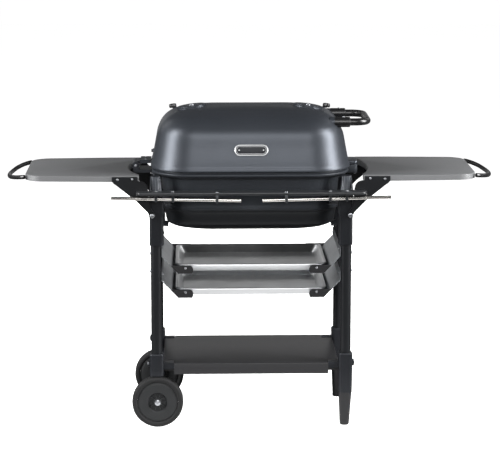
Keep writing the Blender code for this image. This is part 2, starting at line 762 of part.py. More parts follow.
def build_front():
    outline = []
    for sx, sy, radius in ((1, 1, 8.0), (-1, 1, 8.0), (-1, -1, 20.0), (1, -1, 20.0)):
        cx = sx * (RAIL_X - radius)
        cy = (RAIL_BACK - radius) if sy > 0 else (RAIL_FRONT + radius)
        start = {(1, 1): 0.0, (-1, 1): 0.5, (-1, -1): 1.0, (1, -1): 1.5}[(sx, sy)]
        for step in range(6):
            angle = math.pi * (start + 0.5 * step / 5)
            outline.append((cx + radius * math.cos(angle), cy + radius * math.sin(angle)))
    rings = []
    for z, less in ((RAIL_LOW, 3.0), (RAIL_LOW + 3.0, 0.0), (RAIL_HIGH - 3.0, 0.0), (RAIL_HIGH, 3.0)):
        rings.append(level(inset(outline, less) if less else outline, z))
    joins = []
    cuts = []
    outer = Vector(ROD_OUTER)
    inner = Vector(ROD_INNER)
    for side in (1, -1):
        joins.append(box(*sorted((side * 276.0, side * 290.0)), -200.0, -187.5, 716.0, 724.0))
        for x in HOOKS_X:
            share = (outer.x - x) / (outer.x - inner.x)
            at = outer.lerp(inner, share)
            across = (side * at.x - 4.0, side * at.x + 4.0)
            joins.append(box(*across, at.y - 8.5, at.y + 8.5, at.z - 8.5, RAIL_LOW + 2.0))
        ends = [(side * p.x, p.y, p.z) for p in (outer, inner)]
        cuts.append(rod(*ends, ROD_RADIUS + 0.4, 14))
    node("front_rail", skin(rings), "black_tube", joins, cuts)
    for side, end in ((1, "right"), (-1, "left")):
        ends = [(side * p.x, p.y, p.z) for p in (outer, inner)]
        node(f"tool_rod_{end}", rod(*ends, ROD_RADIUS, 14), "stainless")


def build_rack(side, end, tier, drop):
    sheet = LEDGE_SHEET
    face = LEG_X - LEG_RADIUS - GAP
    knee = 217.2
    profile = [
        (face, FLANGE_TOP),
        (face - sheet, FLANGE_TOP),
        (face - sheet, 521.5),
        (knee, LEDGE_TOP),
        (LEDGE_IN, LEDGE_TOP),
        (LEDGE_IN, LEDGE_TOP - sheet),
        (knee + 0.9, LEDGE_TOP - sheet),
        (face, 520.7),
    ]
    slope = (face - sheet - knee) / (521.5 - LEDGE_TOP)
    lip = [(knee + 0.9, LEDGE_TOP - 1.2), (knee + slope * (LIP_TOP - LEDGE_TOP) + 1.2, LIP_TOP)]
    lip += [(182.0, LIP_TOP), (176.0, LIP_TOP - 3.0), (173.5, LIP_TOP - 10.0)]
    lip += [(173.5, 476.0), (177.0, LEDGE_TOP - 1.2)]
    shapes = [upright(profile, -RACK_Y, RACK_Y), upright(lip, -RACK_Y - 2.2, -RACK_Y + 0.5)]
    shapes.append(flipped_depth(shapes[1]))
    lower = Matrix.Translation((0.0, 0.0, -drop))
    first, *rest = [moved(on_side(shape, side), lower) for shape in shapes]
    node(f"rack_{tier}_{end}", first, "black_sheet", rest)


def build_pan(tier, drop):
    low = PAN_LOW - drop
    sections = (
        (low + 1.6, 26.0, 25.5, 16.0),
        (low + 22.6, 11.0, 11.0, 24.0),
        (low + 24.8, 8.6, 8.6, 25.0),
        (low + 25.2, 3.0, 3.0, 28.0),
        (low + 24.0, 0.4, 0.4, 30.0),
        (low + 21.8, 0.0, 0.0, 30.0),
        (low + 20.2, 2.2, 2.2, 29.0),
        (low + 22.0, 8.2, 8.2, 26.0),
        (low, 24.0, 23.5, 18.0),
    )
    rings = [level(rounded(PAN_X - dx, PAN_Y - dy, r, 5), z) for z, dx, dy, r in sections]
    node(f"sheet_pan_{tier}", skin(rings), "pan_metal", pivot=(0.0, 0.0, low))


def main():
    clear_scene()
    build_lid()
    build_lid_fittings()
    build_hinge()
    build_base()
    build_grates()
    for side in (1, -1):
        for depth in (-1, 1):
            build_leg(side, depth)
    build_wheels()
    build_tray()
    build_side_shelf(1, "right", NOTCH_RIGHT)
    build_side_shelf(-1, "left", NOTCH_LEFT)
    build_front()
    for tier, drop in (("upper", 0.0), ("lower", RACK_STEP)):
        build_rack(1, "right", tier, drop)
        build_rack(-1, "left", tier, drop)
        build_pan(tier, drop)


main()
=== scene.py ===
"""The looks of a charcoal grill on a wheeled cart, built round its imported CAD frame.

Shapes are written in millimetres with the front at -Y, as the CAD source writes them, and put() turns them
into metres in the row frame. Every piece rides a CAD body, so one script holds for every pose.
"""

import math

import bmesh
import bpy
from mathutils import Matrix, Vector


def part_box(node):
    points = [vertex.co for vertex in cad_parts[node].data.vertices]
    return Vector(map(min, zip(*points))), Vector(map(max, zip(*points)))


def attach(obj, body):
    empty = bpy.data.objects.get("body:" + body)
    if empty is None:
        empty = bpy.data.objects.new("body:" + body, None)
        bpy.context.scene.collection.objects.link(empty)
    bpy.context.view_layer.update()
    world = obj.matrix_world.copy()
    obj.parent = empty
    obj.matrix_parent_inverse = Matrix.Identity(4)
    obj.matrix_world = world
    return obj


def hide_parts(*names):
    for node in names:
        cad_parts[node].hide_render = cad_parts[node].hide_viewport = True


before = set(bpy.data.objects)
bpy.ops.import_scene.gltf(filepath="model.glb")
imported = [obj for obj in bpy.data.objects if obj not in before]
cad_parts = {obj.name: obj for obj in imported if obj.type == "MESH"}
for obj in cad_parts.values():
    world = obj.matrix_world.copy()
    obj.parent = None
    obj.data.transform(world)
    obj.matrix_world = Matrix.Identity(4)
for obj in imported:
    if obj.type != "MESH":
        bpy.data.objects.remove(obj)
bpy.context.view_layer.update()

MM = 0.001
LID_LOW, LID_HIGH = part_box("lid_shell")
SHIFT = (LID_LOW.y + LID_HIGH.y) / 2 / MM  # how far back the whole grill stands in the row frame
SIDES = ((1, "right"), (-1, "left"))
DEPTHS = ((-1, "front"), (1, "back"))
SMOOTH = math.radians(32)

# Cart
LEG_X, LEG_Y, LEG_RADIUS, LEG_WALL, LEG_TOP = 284.0, 168.0, 16.0, 1.8, 640.2
LEG_BOTTOM = {1: 150.3, -1: 165.3}
PIVOT_X, PIVOT_Z = 294.0, 648.0
COLLAR_HALF, BOLT_Z, BRACE_BOLTS_Z = 21.0, 193.0, (531.0, 477.0)
AXLE_X, AXLE_Z = -282.0, 77.0
DISC_RADIUS, WHEEL_Y, AXLE_REACH = 61.0, 174.0, 193.0
TRAY_X, TRAY_Y, TRAY_WING_X, TRAY_WING_Y = 232.0, 186.0, 264.0, 145.0
TRAY_TOP, TRAY_LOW, TRAY_SHEET = 196.0, 163.0, 2.2

# Side shelves, rail and rods
SHELF_IN, SHELF_OUT, SHELF_Y, SHELF_TIP_Y = 333.0, 672.0, 190.0, 178.0
SHELF_STRAIGHT, SHELF_CORNER, SHELF_TOP, SHELF_LOW = 425.0, 60.0, 767.0, 750.0
SHELF_SHEET, NOTCH_HALF = 2.5, 154.0
NOTCH = {1: 24.0, -1: 35.0}
GUSSET_OUT = 193.3
RAIL_X, RAIL_FRONT, RAIL_BACK, RAIL_LOW, RAIL_HIGH = 341.0, -241.0, -197.5, 715.0, 725.0
ROD_OUTER, ROD_INNER, ROD_RADIUS = (415.0, -201.0, 703.0), (31.0, -244.0, 702.0), 5.5
HOOKS_X = (102.0, 232.0, 282.0)

# Racks and pans
RACK_STEP, RACK_Y, LEDGE_TOP, LEDGE_IN, LEDGE_SHEET = 73.5, 176.0, 471.0, 176.0, 2.0
FLANGE_TOP, FLANGE_LOW, LIP_TOP, KNEE = 547.0, 521.5, 494.0, 217.2
PAN_X, PAN_Y, PAN_LOW = 227.0, 163.5, 471.3
# Height, inset and corner radius round the pan's wall, from the floor's top over the rim to its underside
PAN_PROFILE = (
    (1.6, 29.0, 12.0), (1.9, 24.6, 15.0), (3.4, 22.6, 18.0), (22.4, 11.1, 24.0), (24.2, 9.6, 25.0),
    (25.0, 7.6, 26.0), (25.1, 4.0, 27.0), (24.6, 1.4, 29.0), (23.4, 0.3, 30.0), (21.9, 0.1, 30.0),
    (20.6, 0.8, 30.0), (20.3, 2.4, 29.0), (20.9, 4.6, 28.0), (22.0, 8.4, 26.0), (3.0, 21.9, 19.0),
    (0.6, 23.4, 18.0), (0.0, 26.0, 16.0),
)

# Body
LIP_PLANE, RIM_TOP = 779.0, 778.7
HINGE_X, HINGE_Z = -345.0, 776.0
HANDLE_Y, HANDLE_Z, HANDLE_RADIUS, HANDLE_OUT, HANDLE_BEND = 105.0, 915.0, 10.9, 351.0, 40.0
SOCKET_END = 288.0
VENT_X, VENT_SEAT_Z, VENT_TILT, VENT_RADIUS, VENT_REACH = 176.0, 951.5, math.radians(7.5), 42.0, 56.0
LOW_VENT_X, LOW_SEAT_Z, LOW_VENT_TILT = 205.0, 591.0, math.radians(10.0)
PORT_HOLES, PORT_RADIUS, PORT_CIRCLE = 3, 8.0, 23.0
BADGE_LOW, BADGE_HIGH = (816.0, -196.8), (873.0, -186.0)  # Z and Y of the lid's front under the badge

# Studio, in metres and degrees
FLOOR_HALF, ROOM_RADIUS, WORLD_GLOW = 14.0, 30.0, 0.08
CAMERA_SPOT, CAMERA_TURN, CAMERA_LENS = (-0.1705, -6.4463, 1.7574), (79.435, 0.0, -1.519), 154.8

# Height, half width, half depth and corner radius of the body. They follow the CAD, with the lid's
# shoulder up to 4 mm fuller and a bead round the bowl
LID_INNER = (
    (948.5, 64, 30, 20), (947.0, 113, 55, 34), (944.5, 152, 80, 47), (940.5, 184, 98, 57),
    (935.0, 207, 115, 67), (927.0, 227, 133, 79), (915.5, 244, 149, 89), (901.0, 257, 161, 96),
    (889.0, 265, 170, 102), (876.0, 271.5, 177, 108), (850.0, 278, 183.5, 114),
    (815.0, 284.5, 190, 119), (792.0, 287, 192, 121), (786.0, 283, 188, 118), (LIP_PLANE, 283, 188, 118),
)
LID_RIM = (
    (LIP_PLANE, 297.6, 201.6, 129), (780.2, 298.9, 202.9, 130), (786.6, 298.9, 202.9, 130),
    (788.6, 298, 202, 129),
)
LID_SIDE = (
    (792.0, 296.5, 200.5, 128), (815.0, 291.5, 197, 126), (850.0, 285, 190.5, 121),
    (878.0, 279.5, 186.0, 116),
    (893.0, 273.5, 181.5, 110), (907.0, 266, 173.5, 104), (922.0, 253, 160.5, 96), (934.0, 236, 143.0, 86),
    (942.0, 216, 123, 74), (947.5, 192, 105, 63), (951.5, 160, 86, 52), (954.0, 120, 60, 38),
    (955.0, 70, 34, 22),
)
BASE_INNER = (
    (587.5, 75, 32, 24), (593.0, 145, 66, 42), (601.0, 205, 98, 55), (610.0, 231, 124, 70),
    (619.0, 243, 138, 78), (645.0, 249, 146, 82), (663.0, 254, 157, 86), (752.0, 258, 167, 102),
    (764.0, 279, 184, 116), (RIM_TOP, 281, 186, 118),
)
BASE_RIM = (
    (RIM_TOP, 288, 193, 123), (777.6, 289, 194, 124), (773.0, 289, 194, 124), (772.0, 293.4, 198.4, 127),
    (770.5, 295.4, 200.4, 128), (768.0, 296, 201, 128), (765.0, 295.4, 200.4, 128),
    (763.0, 293.6, 198.6, 127),
    (760.0, 286, 191, 120),
)
BASE_SIDE = (
    (752.0, 268, 176, 108), (730.0, 264, 171, 100), (676.0, 261.5, 164, 92), (667.0, 262.5, 165.5, 93),
    (662.5, 264.5, 167.5, 94), (658.0, 264.0, 166.5, 94), (652.0, 259.0, 159.5, 91),
    (640.0, 257, 154, 88), (615.0, 252, 146, 84), (604.0, 240, 132, 76), (594.5, 215, 105, 60),
    (586.0, 160, 74, 46), (580.5, 80, 35, 25),
)


# ---------------------------------------------------------------- shapes: (vertices in mm, faces)


def rounded(half_x, half_y, radius, arc=16, centre=(0.0, 0.0)):
    points = []
    for turn, (sx, sy) in enumerate(((1, 1), (-1, 1), (-1, -1), (1, -1))):
        for step in range(arc + 1):
            angle = math.pi / 2 * (turn + step / arc)
            x = sx * (half_x - radius) + radius * math.cos(angle)
            y = sy * (half_y - radius) + radius * math.sin(angle)
            points.append((centre[0] + x, centre[1] + y))
    return points


def circle(radius, steps=32, centre=(0.0, 0.0), start=0.0):
    turns = [start + 2 * math.pi * i / steps for i in range(steps)]
    return [(centre[0] + radius * math.cos(t), centre[1] + radius * math.sin(t)) for t in turns]


def inset(outline, depth):
    made = []
    for i, spot in enumerate(outline):
        here = Vector(spot)
        before = (here - Vector(outline[i - 1])).normalized()
        after = (Vector(outline[(i + 1) % len(outline)]) - here).normalized()
        normal = Vector((-before.y - after.y, before.x + after.x)).normalized()
        stretch = max(0.4, normal.dot(Vector((-before.y, before.x))))
        made.append(tuple(here + normal * depth / stretch))
    return made


def level(outline, z):
    return [(x, y, z) for x, y in outline]


def skin(rings, closed=False):
    count = len(rings[0])
    verts = [point for ring in rings for point in ring]
    faces = []
    for k in range(len(rings) if closed else len(rings) - 1):
        low, high = k * count, ((k + 1) % len(rings)) * count
        for i in range(count):
            j = (i + 1) % count
            faces.append((low + i, low + j, high + j, high + i))
    if not closed:
        faces.append(tuple(reversed(range(count))))
        faces.append(tuple(range((len(rings) - 1) * count, len(rings) * count)))
    return verts, faces


def moved(shape, matrix):
    return [tuple(matrix @ Vector(v)) for v in shape[0]], shape[1]


def on_side(shape, side):
    if side > 0:
        return shape
    return [(-x, y, z) for x, y, z in shape[0]], [tuple(reversed(f)) for f in shape[1]]


def at_depth(shape, depth):
    """A shape made for the front, or its mirror image at the back."""
    if depth < 0:
        return shape
    return [(x, -y, z) for x, y, z in shape[0]], [tuple(reversed(f)) for f in shape[1]]


def slab(outline, low, high, edge=0.0):
    """An extruded outline, with its edges rounded by edge."""
    if not edge:
        return skin([level(outline, low), level(outline, high)])
    rings = []
    for step in range(4):
        turn = math.pi / 2 * step / 3
        rings.append(level(inset(outline, edge * (1 - math.sin(turn))), low + edge * (1 - math.cos(turn))))
    return skin(rings + [[(x, y, low + high - z) for x, y, z in ring] for ring in reversed(rings)])


def box(x0, x1, y0, y1, z0, z1, edge=0.0):
    return slab([(x0, y0), (x1, y0), (x1, y1), (x0, y1)], z0, z1, edge)


def upright(outline, y0, y1):
    return skin([[(x, y, z) for x, z in outline] for y in (y1, y0)])


def tube(path, radius, steps=24, end=0.0):
    """A round bar along a path, with its ends rounded by end."""
    points = [Vector(p) for p in path]
    radii = [radius] * len(points)
    if end:
        for k in (0, -1):
            inward = (points[1] - points[0] if k == 0 else points[-2] - points[-1]).normalized()
            tip = points[k].copy()
            extra = []
            for step in range(1, 4):
                turn = math.pi / 2 * step / 4
                extra.append((tip + inward * end * (1 - math.sin(turn)), radius - end * (1 - math.cos(turn))))
            rim = (tip, radius - end)
            full = (tip + inward * end, radius)
            ladder = [rim] + [(p, r) for p, r in reversed(extra)] + [full]
            if k == 0:
                points = [p for p, _ in ladder] + points[1:]
                radii = [r for _, r in ladder] + radii[1:]
            else:
                points = points[:-1] + [p for p, _ in reversed(ladder)]
                radii = radii[:-1] + [r for _, r in reversed(ladder)]
    rings, side = [], None
    for i, point in enumerate(points):
        ahead = points[min(i + 1, len(points) - 1)] - point
        behind = point - points[max(i - 1, 0)]
        along = (ahead.normalized() + behind.normalized()).normalized()
        side = along.orthogonal().normalized() if side is None else side
        side = (side - along * side.dot(along)).normalized()
        other = along.cross(side)
        rings.append([tuple(point + side * x + other * y) for x, y in circle(radii[i], steps)])
    return skin(rings)


def turned(profile, steps=64, closed=True):
    return skin([level(circle(r, steps), h) for r, h in profile], closed)


def facing(spot, normal):
    """A frame at a spot with Z along a normal."""
    turn = Vector(normal).to_track_quat("Z", "Y").to_matrix().to_4x4()
    return Matrix.Translation(spot) @ turn


def dome_head(spot, normal, radius, height, socket=True):
    """A button-head screw with a hexagonal socket."""
    profile = [(radius, -0.6), (radius, height * 0.25)]
    for step in range(1, 6):
        turn = math.pi / 2 * step / 6
        profile.append((radius * math.cos(turn) * 0.98, height * (0.25 + 0.75 * math.sin(turn))))
    rings = [level(circle(r, 24), h) for r, h in profile]
    if socket:
        rings.append(level(circle(radius * 0.42, 24), height))
        rings.append(level(circle(radius * 0.38, 24), height * 0.45))
    return moved(skin(rings), facing(spot, normal))


def hex_nut(spot, normal, radius, height):
    """A nut on a washer, with its bolt end showing."""
    washer = slab(circle(radius * 1.35, 28), 0.0, height * 0.22, height * 0.06)
    nut = slab(circle(radius, 6), height * 0.2, height, height * 0.1)
    end = slab(circle(radius * 0.5, 20), height * 0.8, height * 1.25, height * 0.1)
    return [moved(s, facing(spot, normal)) for s in (washer, nut, end)]


def smooth_sections(sections, steps):
    """Sections along a Catmull-Rom curve through the given ones."""
    out = []
    last = len(sections) - 1
    for i in range(last):
        p = [sections[max(0, min(last, i + k))] for k in (-1, 0, 1, 2)]
        for step in range(steps):
            t = step / steps
            row = []
            for a, b, c, d in zip(*p):
                square, cube = 2 * a - 5 * b + 4 * c - d, 3 * b - a - 3 * c + d
                row.append(0.5 * (2 * b + (c - a) * t + square * t**2 + cube * t**3))
            out.append(tuple(row))
    return out + [sections[-1]]


def body_rings(sections, arc=22):
    return [level(rounded(hx, hy, r, arc), z) for z, hx, hy, r in sections]


def ports(low, high, offset):
    """Cutters for the round vent holes, about the origin."""
    made = []
    for i in range(PORT_HOLES):
        angle = 2 * math.pi * i / PORT_HOLES + offset
        spot = (PORT_CIRCLE * math.cos(angle), PORT_CIRCLE * math.sin(angle))
        made.append(slab(circle(PORT_RADIUS, 28, spot), low, high))
    return made


# ---------------------------------------------------------------- meshes and pieces


def mesh_of(name, shapes):
    verts, faces = [], []
    for shape_verts, shape_faces in shapes:
        faces += [tuple(k + len(verts) for k in face) for face in shape_faces]
        verts += [(x * MM, (y + SHIFT) * MM, z * MM) for x, y, z in shape_verts]
    mesh = bpy.data.meshes.new(name)
    mesh.from_pydata(verts, [], faces)
    work = bmesh.new()
    work.from_mesh(mesh)
    bmesh.ops.recalc_face_normals(work, faces=work.faces)
    work.to_mesh(mesh)
    work.free()
    return mesh


def link(name, mesh):
    obj = bpy.data.objects.new(name, mesh)
    bpy.context.scene.collection.objects.link(obj)
    return obj


def combined(name, shape, joins, cuts):
    """The mesh of a shape after exact unions and differences."""
    body = link(name + "_work", mesh_of(name + "_work", [shape]))
    tools = [link(f"{name}_tool{i}", mesh_of(f"{name}_tool{i}", [t])) for i, t in enumerate((*joins, *cuts))]
    for i, tool in enumerate(tools):
        step = body.modifiers.new(f"step{i}", "BOOLEAN")
        step.operation = "UNION" if i < len(joins) else "DIFFERENCE"
        step.solver = "EXACT"
        step.object = tool
    bpy.context.view_layer.update()
    mesh = bpy.data.meshes.new_from_object(body.evaluated_get(bpy.context.evaluated_depsgraph_get()))
    for obj in (body, *tools):
        bpy.data.objects.remove(obj, do_unlink=True)
    return mesh


def put(name, shapes, look, body, replaces=(), joins=(), cuts=(), bevel=0.0):
    """Makes a finished piece that rides a CAD body and takes its material from its look."""
    shapes = shapes if isinstance(shapes, list) else [shapes]
    mesh = combined(name, shapes[0], joins, cuts) if joins or cuts else mesh_of(name, shapes)
    mesh.materials.clear()
    mesh.materials.append(LOOKS[look][0])
    mesh.shade_smooth()
    mesh.set_sharp_from_angle(angle=SMOOTH)
    obj = link(name, mesh)
    if bevel:
        round_off(obj, bevel)
    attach(obj, body)
    if replaces:
        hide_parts(*replaces)
    return obj


def round_off(obj, width):
    edge = obj.modifiers.new("edges", "BEVEL")
    edge.width = width * MM
    edge.segments = 2
    edge.limit_method = "ANGLE"
    edge.angle_limit = math.radians(35)
    edge.use_clamp_overlap = True
    edge.harden_normals = True


def keep(name, look, bevel=0.0):
    """A CAD node that stays, with a finished material and softened edges."""
    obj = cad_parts[name]
    obj.data.materials.clear()
    obj.data.materials.append(LOOKS[look][0])
    if bevel:
        round_off(obj, bevel)


# ---------------------------------------------------------------- materials


class Nodes:
    """A short way to write a node tree."""

    def __init__(self, name):
        self.material = bpy.data.materials.new(name)
        self.material.use_nodes = True
        self.tree = self.material.node_tree
        self.shader = self.tree.nodes["Principled BSDF"]
        self.place = self.add("ShaderNodeTexCoord").outputs["Object"]

    def add(self, kind, **inputs):
        made = self.tree.nodes.new(kind)
        for key, value in inputs.items():
            made.inputs[key.replace("_", " ")].default_value = value
        return made

    def wire(self, out, into):
        self.tree.links.new(out, into)

    def stretched(self, scale):
        mapping = self.add("ShaderNodeMapping", Scale=scale)
        self.wire(self.place, mapping.inputs["Vector"])
        return mapping.outputs["Vector"]

    def noise(self, scale, detail=4.0, rough=0.55, vector=None):
        made = self.add("ShaderNodeTexNoise", Scale=scale, Detail=detail, Roughness=rough)
        self.wire(vector or self.place, made.inputs["Vector"])
        return made.outputs["Fac"]

    def remap(self, value, low, high, start=0.3, stop=0.7):
        made = self.add("ShaderNodeMapRange")
        for key, number in (("From Min", start), ("From Max", stop), ("To Min", low), ("To Max", high)):
            made.inputs[key].default_value = number
        self.wire(value, made.inputs["Value"])
        return made.outputs["Result"]

    def mix(self, share, first, second):
        made = self.tree.nodes.new("ShaderNodeMix")
        made.data_type = "RGBA"
        self.wire(share, made.inputs["Factor"])
        for socket, value in ((made.inputs[6], first), (made.inputs[7], second)):
            if isinstance(value, tuple):
                socket.default_value = (*value, 1.0)
            else:
                self.wire(value, socket)
        return made.outputs[2]

    def bump(self, height, strength, distance, under=None):
        made = self.add("ShaderNodeBump", Strength=strength, Distance=distance)
        self.wire(height, made.inputs["Height"])
        if under:
            self.wire(under, made.inputs["Normal"])
        return made.outputs["Normal"]

    def edges(self):
        """1 on worn outer edges, 0 elsewhere."""
        return self.remap(self.add("ShaderNodeNewGeometry").outputs["Pointiness"], 0.0, 1.0, 0.53, 0.62)

    def finish(self, colour, roughness, metallic, normal):
        self.wire(colour, self.shader.inputs["Base Color"])
        self.wire(roughness, self.shader.inputs["Roughness"])
        self.wire(normal, self.shader.inputs["Normal"])
        self.shader.inputs["Metallic"].default_value = metallic
        return self.material


# How far, in metres, the painted shade below a height fades in
SHADE_FADE = 0.006


def coated(name, colour, rough, metallic, grain, depth, worn, gloss, shade_below=None):
    """Painted or cast metal: a cloudy tone, fine grain, lighter edges and painted shade below a height in
    metres.
    """
    n = Nodes(name)
    cloud = n.noise(7.0, 4.0, 0.5)
    fine = n.noise(grain, 3.0, 0.5)
    tone = n.mix(n.remap(cloud, 0.0, 1.0), tuple(c * 0.94 for c in colour), tuple(c * 1.06 for c in colour))
    speck = n.mix(n.remap(fine, 0.0, 0.5, 0.50, 0.72), tone, tuple(c * 1.7 for c in colour))
    if shade_below:
        height = n.add("ShaderNodeSeparateXYZ")
        n.wire(n.place, height.inputs["Vector"])
        above = n.remap(height.outputs["Z"], 0.0, 1.0, shade_below - SHADE_FADE, shade_below + SHADE_FADE)
        # Painted shade: below the given height the colour falls to 0.35 of itself
        speck = n.mix(above, tuple(c * 0.35 for c in colour), speck)
    edge = n.mix(n.edges(), speck, tuple(c * worn for c in colour))
    shine = n.remap(fine, rough - 0.04, rough + 0.06)
    n.shader.inputs["Specular IOR Level"].default_value = gloss
    return n.finish(edge, shine, metallic, n.bump(fine, 0.45, depth))


def brushed(name, colour, rough, stretch, metallic=1.0):
    """Bare metal with fine lines along one direction and faint smudges."""
    n = Nodes(name)
    lines = n.noise(1.0, 5.0, 0.6, n.stretched(stretch))
    smudge = n.noise(11.0, 3.0, 0.5)
    light = tuple(min(1.0, c * 1.05) for c in colour)
    tone = n.mix(n.remap(lines, 0.0, 1.0), tuple(c * 0.94 for c in colour), light)
    worn = n.mix(n.remap(smudge, 0.0, 0.4, 0.45, 0.75), tone, tuple(c * 0.88 for c in colour))
    shine = n.remap(smudge, rough - 0.04, rough + 0.06)
    return n.finish(worn, shine, metallic, n.bump(lines, 0.12, 0.00003))


def moulded(name, colour, rough, grain, depth, gloss):
    """Plastic or rubber with a fine moulded texture."""
    n = Nodes(name)
    cells = n.add("ShaderNodeTexVoronoi", Scale=grain)
    n.wire(n.place, cells.inputs["Vector"])
    cloud = n.noise(18.0, 3.0, 0.5)
    tone = n.mix(n.remap(cloud, 0.0, 1.0), tuple(c * 0.9 for c in colour), tuple(c * 1.12 for c in colour))
    edge = n.mix(n.edges(), tone, tuple(c * 1.8 for c in colour))
    shine = n.remap(cloud, rough - 0.03, rough + 0.05)
    n.shader.inputs["Specular IOR Level"].default_value = gloss
    return n.finish(edge, shine, 0.0, n.bump(cells.outputs["Distance"], 0.25, depth))


def plain_floor():
    n = Nodes("floor_paper")
    cloud = n.noise(2.0, 3.0, 0.5)
    tone = n.mix(n.remap(cloud, 0.0, 1.0), (0.86, 0.86, 0.86), (0.89, 0.89, 0.89))
    n.shader.inputs["Emission Color"].default_value = (1.0, 1.0, 1.0, 1.0)
    n.shader.inputs["Emission Strength"].default_value = 0.92
    return n.finish(tone, n.remap(cloud, 0.68, 0.78), 0.0, n.bump(cloud, 0.02, 0.001))


# Look: material and the record's slot
LOOKS = {
    "body": (
        coated("graphite_body", (0.040, 0.045, 0.054), 0.38, 0.55, 1500.0, 0.00022, 1.4, 0.50),
        "body_metal",
    ),
    # The body's graphite paint made darker: painted shade on the base, with more painted shade below 0.661 m
    "base": (
        coated("graphite_base_painted_shade", (0.024, 0.027, 0.032), 0.46, 0.15, 1400.0, 0.00022, 1.6, 0.20, 0.661),
        "body_metal",
    ),
    "casting": (
        coated("black_casting", (0.010, 0.011, 0.0135), 0.40, 0.30, 700.0, 0.00045, 2.2, 0.28),
        "black_casting",
    ),
    # The black casting made lighter and glossier: a painted highlight on the ribbed cones under the rim
    "cone": (
        coated("ribbed_casting_painted_highlight", (0.050, 0.055, 0.064), 0.32, 0.40, 900.0, 0.00020, 1.6, 0.50),
        "black_casting",
    ),
    "foot": (
        coated("foot_casting", (0.017, 0.017, 0.018), 0.46, 0.20, 900.0, 0.00030, 1.8, 0.26),
        "black_casting",
    ),
    "tube": (
        coated("black_tube", (0.006, 0.0064, 0.0072), 0.36, 0.10, 2200.0, 0.00010, 2.0, 0.20),
        "black_tube",
    ),
    # The legs' black tube paint made lighter and glossier: a painted highlight on the front rail
    "rail": (
        coated("rail_painted_highlight", (0.019, 0.020, 0.022), 0.34, 0.10, 2200.0, 0.00010, 2.0, 0.45),
        "black_tube",
    ),
    "grey": (
        coated("grey_sheet", (0.112, 0.114, 0.117), 0.48, 0.10, 2600.0, 0.00012, 1.4, 0.35),
        "grey_sheet",
    ),
    "sheet": (
        coated("black_sheet", (0.010, 0.010, 0.011), 0.38, 0.05, 2600.0, 0.00012, 1.8, 0.50),
        "black_sheet",
    ),
    "steel": (brushed("stainless_bar", (0.62, 0.60, 0.57), 0.24, (12.0, 260.0, 260.0)), "stainless"),
    "bolt": (brushed("bolt_steel", (0.34, 0.35, 0.37), 0.30, (500.0, 500.0, 500.0)), "stainless"),
    "pan": (brushed("bright_pan", (0.84, 0.85, 0.86), 0.32, (9.0, 120.0, 120.0)), "pan_metal"),
    # Light grey metal on the rack plates: a painted reflection of the white surroundings on black sheet
    "rack": (brushed("rack_plate_painted_reflection", (0.40, 0.42, 0.44), 0.34, (240.0, 14.0, 240.0)), "pan_metal"),
    "badge": (brushed("badge_metal", (0.36, 0.365, 0.37), 0.40, (500.0, 40.0, 500.0)), "emblem_metal"),
    "iron": (
        coated("seasoned_iron", (0.022, 0.021, 0.020), 0.60, 0.40, 500.0, 0.00060, 2.0, 0.40),
        "iron_grate",
    ),
    "grip": (moulded("grip_plastic", (0.008, 0.008, 0.0085), 0.28, 900.0, 0.000012, 0.50), "handle_plastic"),
    "rubber": (moulded("tyre_rubber", (0.016, 0.016, 0.0165), 0.66, 900.0, 0.00014, 0.22), "tyre_rubber"),
    "hub": (moulded("hub_plastic", (0.021, 0.022, 0.023), 0.50, 1300.0, 0.00010, 0.24), "hub_plastic"),
}


# ---------------------------------------------------------------- lid


def vent_frame(side):
    spot = Matrix.Translation((side * VENT_X, 0.0, VENT_SEAT_Z))
    return spot @ Matrix.Rotation(side * VENT_TILT, 4, "Y")


def low_vent_frame(side):
    spot = Matrix.Translation((side * LOW_VENT_X, 0.0, LOW_SEAT_Z))
    return spot @ Matrix.Rotation(-side * LOW_VENT_TILT, 4, "Y") @ Matrix.Rotation(math.pi, 4, "X")


def build_lid():
    joins, cuts = [], []
    for side in (1, -1):
        seat = vent_frame(side)
        joins.append(moved(slab(circle(44.0, 64), -7.0, 0.0), seat))
        cuts += [moved(hole, seat) for hole in ports(-25.0, 12.0, 0.0)]
        socket = [(x, side * HANDLE_Y, HANDLE_Z) for x in (236.0, SOCKET_END)]
        joins.append(tube(socket, 14.9, 32, 1.5))
    joins.append(slab(rounded(20.0, 45.0, 10.0, 8, (305.0, 0.0)), LIP_PLANE + 0.6, 788.0, 1.2))
    joins.append(tube([(-276.0, 0.0, 816.0), (-293.5, 0.0, 816.0)], 7.0, 28, 1.0))
    cuts += [slab(circle(3.6, 20, (315.0, y)), 770.0, 800.0) for y in (-26.0, 26.0)]
    outer = body_rings((*LID_RIM, *smooth_sections(LID_SIDE, 4)))
    shape = skin(body_rings(smooth_sections(LID_INNER, 2)) + outer)
    put("lid", shape, "body", "lid", ["lid_shell"], joins, cuts)


def handle_path():
    path = [(SOCKET_END + 0.3, -HANDLE_Y, HANDLE_Z)]
    for corner in (-1, 1):
        for step in range(13):
            angle = math.pi / 2 * step / 12
            angle = math.pi / 2 - angle if corner < 0 else angle
            x = HANDLE_OUT - HANDLE_BEND + HANDLE_BEND * math.cos(angle)
            y = corner * (HANDLE_Y - HANDLE_BEND + HANDLE_BEND * math.sin(angle))
            path.append((x, y, HANDLE_Z))
    return path + [(SOCKET_END + 0.3, HANDLE_Y, HANDLE_Z)]


def badge_frame():
    low, high = BADGE_LOW, BADGE_HIGH
    slope = math.atan2(high[1] - low[1], high[0] - low[0])
    return Matrix.Translation((0.0, low[1] - 0.45, low[0])) @ Matrix.Rotation(math.pi / 2 - slope, 4, "X")


